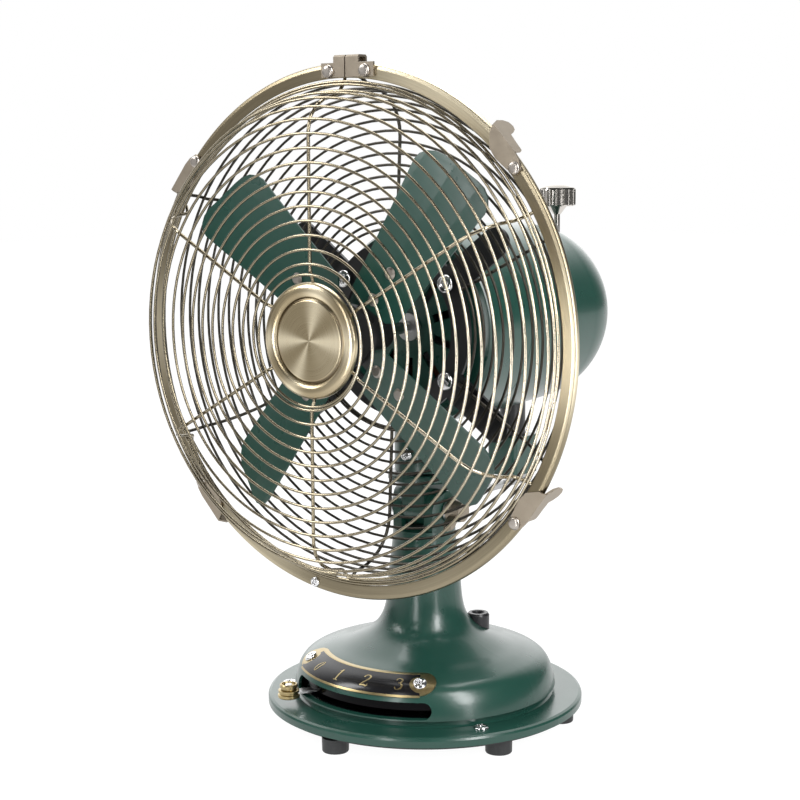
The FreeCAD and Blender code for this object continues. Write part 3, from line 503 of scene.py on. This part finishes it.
def spoke_set():
    """Bent wires set round the fan's axis: the base mesh is one spoke's (radius, 0, y) line."""
    p = Pattern("spoke_set", Count=6, First_angle=0.0, Wire=0.0011, Bend=0.006)
    g = p.given
    wire = p.rod(p.filleted(g["Geometry"], g["Bend"], 5), g["Wire"], 10)
    # the drawn line stands in x and z, and is laid down so that z becomes the depth
    radius, side, depth = p.parts(p.node("GeometryNodeInputPosition")["Position"])
    wire = p.moved(wire, p.vector(radius, depth, -1.0 * side))
    dots = p.node("GeometryNodeMeshLine", None, {"Count": g["Count"], "Offset": (0.0, 0.0, 0.0)})["Mesh"]
    turn = g["First_angle"] + p.node("GeometryNodeInputIndex")["Index"] * (2 * math.pi) / g["Count"]
    set_out = p.node("GeometryNodeInstanceOnPoints", None,
                     {"Points": dots, "Instance": wire,
                      "Rotation": p.vector(0.0, -1.0 * turn, 0.0)})["Instances"]
    on_axis = p.node("GeometryNodeTransform", None, {"Geometry": set_out, "Translation": (0.0, 0.0, HEAD_Z)})
    return p.finish(on_axis["Geometry"])


def turned_piece():
    """Ring or cap turned about an upright axis: the base mesh is its (radius, 0, height) profile."""
    p = Pattern("turned_piece", Samples=40, Steps=120, Round=0.0006)
    g = p.given
    line = p.filleted(g["Geometry"], g["Round"], 4)
    grid, (u, v, unused) = p.grid(1.0, g["Samples"], g["Steps"])
    at = p.node("GeometryNodeSampleCurve", {"mode": "FACTOR"}, {"Curves": line, "Factor": u + 0.5})["Position"]
    radius, unused, height = p.parts(at)
    turn = v * (2 * math.pi)
    turned = p.moved(grid, p.vector(radius * turn.cosine(), radius * turn.sine(), height))
    closed = p.node("GeometryNodeMergeByDistance", None, {"Geometry": turned, "Distance": 0.000002})
    return p.finish(closed["Geometry"])


def pressed_heads():
    """Screw and rivet heads on the points of the base mesh, each facing its point's axis."""
    p = Pattern("pressed_heads", Radius=0.005, Rise=0.002, Roundness=0.5, Cross=0.0, Cross_width=0.0008,
                Cross_depth=0.001, Skirt=0.0008)
    g = p.given
    grid, (u, v, unused) = p.grid(2.0, 41, 41)
    # the square grid is drawn in to a disc
    x = u * (1.0 - v * v * 0.5).root()
    y = v * (1.0 - u * u * 0.5).root()
    out = (x * x + y * y).below(1.0)
    dome = (1.0 - out * out) ** g["Roundness"]
    near = (x.size().below(y.size())) * g["Radius"]
    far = (x.size().above(y.size())) * g["Radius"]
    # the cross's walls lean by a quarter of a millimetre, and its arms run out in a slope
    wall = ((g["Cross_width"] - near) / 0.00025 + 0.5).above(0.0).below(1.0)
    reach = ((g["Cross"] - far) / (g["Cross"] * 0.35 + 0.00001)).above(0.0).below(1.0)
    height = dome * (g["Rise"] + g["Skirt"]) - wall * reach * g["Cross_depth"] - g["Skirt"]
    spread = g["Radius"]
    top = p.moved(grid, p.vector(x * spread, y * spread, height))
    low = p.moved(grid, p.vector(x * spread, y * spread, -1.0 * g["Skirt"]))
    low = p.node("GeometryNodeFlipFaces", None, {"Mesh": low})["Mesh"]
    head = p.node("GeometryNodeJoinGeometry", None, {"Geometry": [top, low]})["Geometry"]
    head = p.node("GeometryNodeMergeByDistance", None, {"Geometry": head, "Distance": 0.000004})["Geometry"]
    axis, spin = [p.node("GeometryNodeInputNamedAttribute", {"data_type": kind}, {"Name": name})["Attribute"]
                  for name, kind in (("axis", "FLOAT_VECTOR"), ("spin", "FLOAT"))]
    facing = p.node("FunctionNodeAlignRotationToVector", {"axis": "Z"}, {"Vector": axis})["Rotation"]
    turned = p.node("FunctionNodeRotateRotation", {"rotation_space": "LOCAL"},
                    {"Rotation": facing, "Rotate By": p.vector(0.0, 0.0, spin)})["Rotation"]
    set_out = p.node("GeometryNodeInstanceOnPoints", None,
                     {"Points": g["Geometry"], "Instance": head, "Rotation": turned})["Instances"]
    return p.finish(set_out)


def profile_mesh(name, points):
    """Line of (radius, height) points, in millimetres, as a chain of edges in x and z."""
    mesh = bpy.data.meshes.new(name)
    mesh.from_pydata([(r * mm, 0.0, y * mm) for r, y in points],
                     [(i, i + 1) for i in range(len(points) - 1)], [])
    return mesh


def seats_mesh(name, seats):
    """One vertex for each fastener, with the way it faces and how it was driven round."""
    mesh = bpy.data.meshes.new(name)
    mesh.from_pydata([at for at, axis, spin in seats], [], [])
    facing = mesh.attributes.new("axis", "FLOAT_VECTOR", "POINT")
    facing.data.foreach_set("vector", [c for at, axis, spin in seats for c in axis])
    spun = mesh.attributes.new("spin", "FLOAT", "POINT")
    spun.data.foreach_set("value", [spin for at, axis, spin in seats])
    return mesh


def make(name, body, slot, finish, mesh, pattern, replaced=(), **sizes):
    """Run a pattern on a base mesh and keep the result as a plain mesh."""
    piece = bpy.data.objects.new(name, mesh)
    bpy.context.scene.collection.objects.link(piece)
    modifier = piece.modifiers.new(pattern.tree.name, "NODES")
    modifier.node_group = pattern.tree
    for socket in pattern.tree.interface.items_tree:
        if socket.in_out == "INPUT" and socket.name in sizes:
            modifier[socket.identifier] = sizes[socket.name]
        if socket.in_out == "INPUT" and socket.name == "Material":
            modifier[socket.identifier] = material[finish]
    graph = bpy.context.evaluated_depsgraph_get()
    made = bpy.data.meshes.new_from_object(piece.evaluated_get(graph), depsgraph=graph)
    piece.modifiers.clear()
    piece.data = made
    return keep(piece, body, replaced)


def keep(piece, body, replaced=()):
    """Put a piece on its body, in place of the solids that it stands for."""
    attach(piece, body)
    if replaced:
        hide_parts(*replaced)
    return piece


turning = turned_piece()


def turned_on_head(name, finish, points, y, samples, steps, rounding, replaced=()):
    """Piece turned about the fan's axis, its profile's height measured backwards from y."""
    piece = make(name, "head", finish, finish, profile_mesh(name, points), turning, replaced,
                 Samples=samples, Steps=steps, Round=rounding * mm)
    to_head = Matrix.Translation((0, y * mm, HEAD_Z)) @ Matrix.Rotation(math.radians(-90), 4, "X")
    piece.data.transform(to_head)


# --- guards -------------------------------------------------------------

def dish(back, flat, side, depth, forward, steps=20):
    """(radius, y) profile of a guard: flat, then an elliptical corner."""
    points = [(0.0, back), (flat, back)]
    for i in range(1, steps + 1):
        q = math.radians(90 * i / steps)
        points.append((flat + (side - flat) * math.sin(q), back + forward * depth * (1 - math.cos(q))))
    return points


def length_of(points):
    return sum(math.hypot(b[0] - a[0], b[1] - a[1]) for a, b in zip(points, points[1:]))


def add_coil(wire, name, finish, nodes, profile, start, pitch, angle, flat, thick):
    """Wind one wire from start to the end of a profile, and return the angle at which it ends."""
    turns = flat + (length_of(profile) - start) / pitch
    make(name, "head", finish, finish, profile_mesh(name, profile), wire, nodes, Start=start * mm,
         Pitch=pitch * mm, Flat_turns=flat, Start_angle=math.radians(angle),
         Steps=int(turns * STEPS_A_TURN) + 1, Steps_a_turn=STEPS_A_TURN, Wire=thick * mm)
    return angle - 360.0 * turns


def add_coils():
    """The two spirals; the front one's last turns lie close together beside the band."""
    wire = wound_wire()
    front_end = (152.0, BAND - 4.7)
    front = dish(FRONT_FACE, 125.7, 148.7, 28.4, 1) + [front_end]
    edge = [front_end, (156.2, BAND - 2.0)]
    rear = dish(REAR_FACE, REAR_FLAT, REAR_FLAT + REAR_CORNER, REAR_DEPTH, -1)
    rear += [(153.6, -69.5), (155.0, -73.0)]
    end_angle = add_coil(wire, "front_guard_coil", "wire_brass", ("front_guard_wire",), front,
                         40.0, 8.58, 335.0, 0.93, 0.88)
    add_coil(wire, "front_guard_coil_edge", "wire_brass", (), edge, 0.0, 2.1, end_angle, 0.0, 0.88)
    add_coil(wire, "rear_guard_coil", "dark_wire", ("rear_guard_wire",), rear, 64.0, 7.1, 300.0, 0.9, 0.9)


def add_spokes():
    """Six bent wires to each guard, inside the front spiral and outside the rear one."""
    spokes = spoke_set()
    face = FRONT_FACE + SPOKE_GAP
    inner = [(31.0, face + 2.7), (37.0, face + 2.5), (42.5, face), (125.0, face), (133.3, face + 2.1),
             (140.0, face + 8.0), (144.6, face + 16.5), (146.7, face + 28.0), (149.7, BAND - 3.6),
             (154.2, BAND + 0.3), (157.6, BAND + 1.2), (160.8, BAND + 1.2)]
    outer = [(58.6, REAR_FACE + SPOKE_GAP), (REAR_FLAT, REAR_FACE + SPOKE_GAP)]
    for i in range(1, 8):
        # round the rear guard's elliptical corner, a spoke's gap outside it
        q = math.radians(90 * i / 8)
        slope = math.hypot(REAR_DEPTH * math.sin(q), REAR_CORNER * math.cos(q))
        outer.append((REAR_FLAT + (REAR_CORNER + SPOKE_GAP * REAR_DEPTH / slope) * math.sin(q),
                      REAR_FACE - REAR_DEPTH + (REAR_DEPTH + SPOKE_GAP * REAR_CORNER / slope) * math.cos(q)))
    outer += [(153.1, -66.0), (155.3, -68.0), (157.2, -72.2), (158.4, -76.8), (159.1, BAND + 2.75),
              (160.8, BAND + 2.75)]
    for name, finish, node, line, angle in (
            ("front_guard_spoke_set", "wire_brass", "front_guard_spokes", inner, 30.0),
            ("rear_guard_spoke_set", "dark_wire", "rear_guard_spokes", outer, 27.6)):
        make(name, "head", finish, finish, profile_mesh(name, line), spokes, (node,), Count=6,
             First_angle=math.radians(angle), Wire=1.1 * mm, Bend=6.0 * mm)


def add_rims():
    """Round wire rings, 2 mm thick, that the band clasps."""
    for name, finish, y in (("front_guard_rim", "wire_brass", 0.65), ("rear_guard_rim", "dark_wire", 2.75)):
        circle = [(RIM_RADIUS + math.cos(math.radians(30 * k)), y + math.sin(math.radians(30 * k)))
                  for k in range(13)]
        turned_on_head(name, finish, circle, BAND, 13, 181, 0.0)


def add_band():
    """Broad flat lip in front, rolled over the rims to a narrow lip behind."""
    section = [(157.2, -0.15), (156.3, -0.5), (157.0, -1.1), (163.0, -1.55), (165.2, -0.9),
               (165.95, 0.5), (165.9, 1.9), (165.0, 3.4), (163.6, 4.4), (161.8, 4.9), (160.2, 4.8),
               (160.2, 4.0), (161.7, 4.05), (163.15, 3.65), (164.3, 2.9), (165.05, 1.8), (165.1, 0.9),
               (164.6, 0.0), (163.2, -0.6), (160.0, -0.65), (157.2, -0.15)]
    turned_on_head("band", "antique_brass", section, BAND, 90, 240, 0.5, ("clamp_band",))


def add_tail():
    """Rear shell of the motor: a long cone that ends in half a ball."""
    ball_y, ball, hollow, pole = 114.35, 62.5, 60.3, 0.001

    def quarter(radius):
        return [(radius * math.cos(math.radians(3 * k)), ball_y + radius * math.sin(math.radians(3 * k)))
                for k in range(30)]

    section = ([(pole, ball_y + hollow)] + quarter(hollow)[::-1] + [(62.1, 75.0), (62.8, 30.0), (65.0, 30.0),
                                                                   (64.3, 75.0)]
               + quarter(ball) + [(pole, ball_y + ball - 0.01)])
    turned_on_head("motor_tail", "green_paint", section, 0.0, 240, 160, 0.0, ("motor_rear_shell",))


def add_badge():
    """Spun cap: a flat disc, a step, and a full round rim."""
    profile = [(0.001, -3.3), (24.4, -3.4), (25.1, -2.5), (26.0, -2.5)]
    for k in range(13):
        q = math.radians(200 - 17.5 * k)
        profile.append((30.6 + 4.9 * math.cos(q), -1.0 - 3.75 * math.sin(q)))
    profile += [(35.6, -0.4), (34.7, 0.0), (32.6, -2.2), (30.0, -3.0), (26.8, -1.6), (24.0, -1.6),
                (0.001, -2.2)]
    turned_on_head("spun_badge", "spun_brass", profile, BAND - 33.1, 140, 128, 0.5, ("badge",))


# --- screws and rivets --------------------------------------------------

def polar(r, azimuth, z):
    """Point or way on the base, its azimuth counted from the front."""
    a = math.radians(azimuth)
    return Vector((r * math.sin(a), -r * math.cos(a), z)) * mm


def on_head(r, angle, y):
    """Point on the head, its angle counted round the fan's axis."""
    a = math.radians(angle)
    return Vector((r * math.cos(a) * mm, y * mm, HEAD_Z + r * math.sin(a) * mm))


def add_fasteners():
    """Every screw and rivet head, its seats as (point, way it faces, how far it was driven round)."""
    heads = pressed_heads()
    up, front = Vector((0, 0, 1)), Vector((0, -1, 0))
    dome_slope = [polar(0.58, a, 0.81) for a in PLATE_ENDS]
    plate = [(polar(PLATE_RADIUS, a, PLATE_Z) + 1.25 * way, way.normalized(), turn)
             for a, way, turn in zip(PLATE_ENDS, dome_slope, (0.2, 0.9))]
    flange = [(polar(92, a, 17.35), up, turn) for a, turn in ((58.7, 0.3), (180.0, 1.1), (301.3, 0.7))]
    bracket = [(on_head(51, a, -32.1), front, turn)
               for a, turn in ((37, 0.3), (143, 0.8), (217, 0.1), (323, 1.2))]
    catches = [(on_head(161.9, a, BAND - 3.12), front, 0.0) for a in CATCHES]
    clasp = [(Vector((x * mm, (BAND - 3.02) * mm, HEAD_Z + 160.7 * mm)), front, 0.0) for x in (-9.8, 18.0)]
    band = [(on_head(161.9, 260.6, BAND - 1.5), front, 0.4)]
    neck = [(Vector((0, -19.55 * mm, 179.0 * mm)), front, 0.5)]
    # radius, rise, roundness, then the cross's reach, half width and depth, and the skirt
    for name, body, node, finish, seats, shape in (
            ("flange_screw_heads", "base", "flange_screws", "chrome", flange,
             (5.0, 1.6, 0.42, 2.9, 0.55, 1.3, 0.2)),
            ("plate_screw_heads", "base", "plate_screws", "chrome", plate,
             (4.4, 1.7, 0.45, 2.7, 0.5, 1.3, 0.2)),
            ("bracket_screw_heads", "head", "bracket_screws", "chrome", bracket,
             (5.9, 2.6, 0.4, 3.6, 0.7, 1.9, 0.0)),
            ("latch_rivet_heads", "head", "latch_rivets", "nickel", catches,
             (4.0, 1.85, 0.5, 0.0, 0.8, 1.0, 0.1)),
            ("clasp_rivet_heads", "head", "clasp_rivets", "nickel", clasp,
             (4.2, 2.0, 0.5, 0.0, 0.8, 1.0, 0.1)),
            ("band_screw_head", "head", "band_screw", "chrome", band,
             (3.4, 1.55, 0.45, 2.1, 0.4, 1.0, 0.1)),
            ("neck_screw_head", "head", "neck_set_screw", "chrome", neck,
             (4.4, 1.8, 0.45, 2.7, 0.5, 1.3, 0.2))):
        radius, rise, roundness, cross, width, depth, skirt = shape
        make(name, body, "chrome", finish, seats_mesh(name, seats), heads, (node,), Radius=radius * mm,
             Rise=rise * mm, Roundness=roundness, Cross=cross * mm, Cross_width=width * mm,
             Cross_depth=depth * mm, Skirt=skirt * mm)


# --- numerals on the dial plate -----------------------------------------

# pen strokes in a box one high, each point with its half width
NUMERALS = {
    "0": [[(0.10, 0.5, 0.035), (0.02, 0.22, 0.03), (-0.13, 0.03, 0.018), (-0.27, 0.18, 0.03),
           (-0.26, 0.5, 0.035), (-0.14, 0.80, 0.03), (0.02, 0.97, 0.018), (0.11, 0.82, 0.03),
           (0.10, 0.5, 0.035)]],
    "1": [[(-0.17, 0.80, 0.02), (-0.05, 0.87, 0.03), (0.05, 0.98, 0.055)],
          [(0.03, 0.98, 0.055), (0.0, 0.5, 0.055), (-0.03, 0.02, 0.055)],
          [(-0.22, 0.015, 0.02), (0.16, 0.015, 0.02)]],
    "2": [[(-0.22, 0.72, 0.055), (-0.18, 0.90, 0.035), (0.02, 0.98, 0.035), (0.22, 0.86, 0.055),
           (0.21, 0.64, 0.06), (0.02, 0.40, 0.045), (-0.20, 0.18, 0.03), (-0.30, 0.04, 0.02)],
          [(-0.30, 0.04, 0.04), (-0.02, 0.06, 0.055), (0.20, 0.02, 0.045), (0.27, 0.18, 0.02)]],
    "3": [[(-0.20, 0.78, 0.05), (-0.14, 0.93, 0.03), (0.03, 0.98, 0.03), (0.20, 0.87, 0.05),
           (0.19, 0.68, 0.05), (0.06, 0.56, 0.03), (-0.06, 0.54, 0.018)],
          [(-0.04, 0.54, 0.018), (0.10, 0.52, 0.03), (0.22, 0.38, 0.06), (0.21, 0.17, 0.06),
           (0.05, 0.02, 0.035), (-0.16, 0.03, 0.03), (-0.26, 0.18, 0.05)]],
}


def smooth_line(points, steps=6):
    """Points eased through by a Catmull-Rom curve."""
    out = []
    last = len(points) - 1
    for i in range(last):
        p = [Vector(points[min(max(k, 0), last)]) for k in range(i - 1, i + 3)]
        for j in range(steps):
            t = j / steps
            out.append(0.5 * (2 * p[1] + (p[2] - p[0]) * t
                              + (2 * p[0] - 5 * p[1] + 4 * p[2] - p[3]) * t * t
                              + (3 * p[1] - p[0] - 3 * p[2] + p[3]) * t ** 3))
    return out + [Vector(points[-1])]


def surface_of(node):
    """Ray target made from a CAD node's triangles."""
    shape = bmesh.new()
    shape.from_mesh(cad[node].data)
    tree = BVHTree.FromBMesh(shape)
    shape.free()
    return tree


def add_numerals():
    """Raised brass figures that lie on the curved plate."""
    plate = surface_of("number_plate")
    bm = bmesh.new()
    high, wide, sunk, raised = 9.4 * mm, 9.0 * mm, 0.05 * mm, 0.16 * mm
    for figure, azimuth, z in (("0", -24.9, 42.2), ("1", -8.5, 42.3), ("2", 7.4, 43.0), ("3", 24.0, 43.0)):
        out = polar(0.56, azimuth, 0.83).normalized()
        along = polar(1.0, azimuth + 90.0, 0.0).normalized()
        up = out.cross(along)
        middle = polar(77.5, azimuth, z)
        for stroke in NUMERALS[figure]:
            line = smooth_line(stroke)
            sides = []
            for i, p in enumerate(line):
                way = line[min(i + 1, len(line) - 1)] - line[max(i - 1, 0)]
                across = Vector((-way.y * high, way.x * wide)).normalized() * p.z * high
                for sign in (-1, 1):
                    flat = Vector((p.x * wide, (p.y - 0.5) * high)) + sign * across
                    aim = middle + along * flat.x + up * flat.y
                    hit = plate.ray_cast(aim + out * 0.01, -out)[0]
                    sides.append((bm.verts.new(hit - out * sunk), bm.verts.new(hit + out * raised)))
            for i in range(len(line) - 1):
                (a, a1), (b, b1), (c, c1), (d, d1) = sides[2 * i:2 * i + 4]
                for face in ((a1, b1, d1, c1), (a, c, d, b), (a, a1, c1, c), (b, d, d1, b1)):
                    bm.faces.new(face)
            for (a, a1), (b, b1) in ((sides[0], sides[1]), (sides[-2], sides[-1])):
                bm.faces.new((a, b, b1, a1))
    bmesh.ops.recalc_face_normals(bm, faces=bm.faces)
    mesh = bpy.data.meshes.new("dial_numerals")
    bm.to_mesh(mesh)
    bm.free()
    mesh.materials.append(material["gilt"])
    piece = bpy.data.objects.new("dial_numerals", mesh)
    bpy.context.scene.collection.objects.link(piece)
    keep(piece, "base")


add_numerals()
add_coils()
add_spokes()
add_rims()
add_band()
add_badge()
add_tail()
add_fasteners()

# --- camera, lights and floor -------------------------------------------

def add_camera():
    """The eye stands at the front right of the fan, a little above its axis."""
    eye = (0.65947, -0.90247, 0.37576)
    right = Vector((0.79952, 0.60060, -0.00573))
    ahead = Vector((-0.59497, 0.79067, -0.14435)).normalized()
    right = (right - ahead * right.dot(ahead)).normalized()
    up = right.cross(ahead)
    lens = bpy.data.cameras.new("camera")
    lens.sensor_width = 36.0
    lens.lens = 77.068
    lens.clip_start, lens.clip_end = 0.05, 50.0
    camera = bpy.data.objects.new("camera", lens)
    camera.matrix_world = Matrix.Translation(eye) @ Matrix((right, up, -ahead)).transposed().to_4x4()
    bpy.context.scene.collection.objects.link(camera)
    bpy.context.scene.camera = camera


def add_lamp(name, at, aim, size, power):
    """Rectangular lamp that faces a point."""
    lamp = bpy.data.lights.new(name, "AREA")
    lamp.shape = "RECTANGLE"
    lamp.size, lamp.size_y = size
    lamp.energy = power
    holder = bpy.data.objects.new(name, lamp)
    holder.location = at
    holder.rotation_euler = (Vector(aim) - Vector(at)).to_track_quat("-Z", "Y").to_euler()
    bpy.context.scene.collection.objects.link(holder)


def add_world():
    """Studio that is white to the eye, and dim round the fan except behind it and just in front."""
    world = bpy.data.worlds.new("studio")
    bpy.context.scene.world = world
    world.use_nodes = True
    f = Bench(world.node_tree)
    back = f.tree.nodes["Background"]
    path = f.node("ShaderNodeLightPath")
    seen, shine = path["Is Camera Ray"], path["Is Glossy Ray"]
    way = f.node("ShaderNodeTexCoord")["Generated"]
    # behind the fan the backdrop is white, and the room on the near side is dark
    backdrop = f.eased(f.dot(way, (0.655, -0.605, -0.453)), -1.0, -0.45, 1.0, 0.0)
    # a pale wall in front of the fan gives its flat metal faces something to reflect
    wall = f.eased(f.dot(way, (-0.60, -0.785, -0.15)), 0.80, 0.99, 0.0, 0.55)
    daylight, backdrop_light, dark, backdrop_shine = 0.34, 0.5, 0.24, 1.6
    room = daylight + backdrop * backdrop_light - shine * (dark - backdrop * backdrop_shine - wall)
    f.plug(back.inputs["Strength"], room * (1.0 - seen) + seen)
    back.inputs["Color"].default_value = (1, 1, 1, 1)


def add_floor():
    """White floor that stops a little in front of the fan, and still takes its shadow."""
    mesh = bpy.data.meshes.new("floor")
    mesh.from_pydata([(-5, -0.75, 0), (4, -0.75, 0), (4, 6, 0), (-5, 6, 0)], [], [(0, 1, 2, 3)])
    floor = bpy.data.objects.new("floor", mesh)
    bpy.context.scene.collection.objects.link(floor)
    f = Finish("pale_floor", (0.86, 0.86, 0.86), roughness=0.9, Specular_IOR_Level=0.0)
    path = f.node("ShaderNodeLightPath")
    seen = path["Is Camera Ray"].above(path["Is Glossy Ray"]).above(path["Is Transmission Ray"])
    glow = f.node("ShaderNodeEmission", None, {"Color": (1, 1, 1, 1), "Strength": 1.12})["Emission"]
    share = 0.86
    both = f.node("ShaderNodeMixShader", None,
                  {0: seen * share, 1: Value(f, f.shader.outputs[0]), 2: glow})["Shader"]
    f.plug(f.tree.nodes["Material Output"].inputs["Surface"], both)
    mesh.materials.append(f.material)


add_camera()
add_world()
add_floor()
for lamp in (("left_window", (-1.05, -0.95, 1.2), (0, 0, 0.2), (0.45, 0.75), 15.0),
             ("right_window", (1.1, -0.35, 0.85), (0, 0, 0.2), (0.35, 1.0), 14.0),
             ("right_strip", (0.70, -0.23, 0.6), (0, 0, 0.6), (0.10, 1.2), 2.0),
             ("front_strip", (0.097, -0.49, 0.3), (0, 0, 0.3), (0.07, 0.6), 1.1),
             ("overhead", (-0.15, 0.35, 1.6), (0, 0, 0.1), (1.0, 0.8), 15.0)):
    add_lamp(*lamp)

bpy.context.scene.view_settings.view_transform = "Standard"
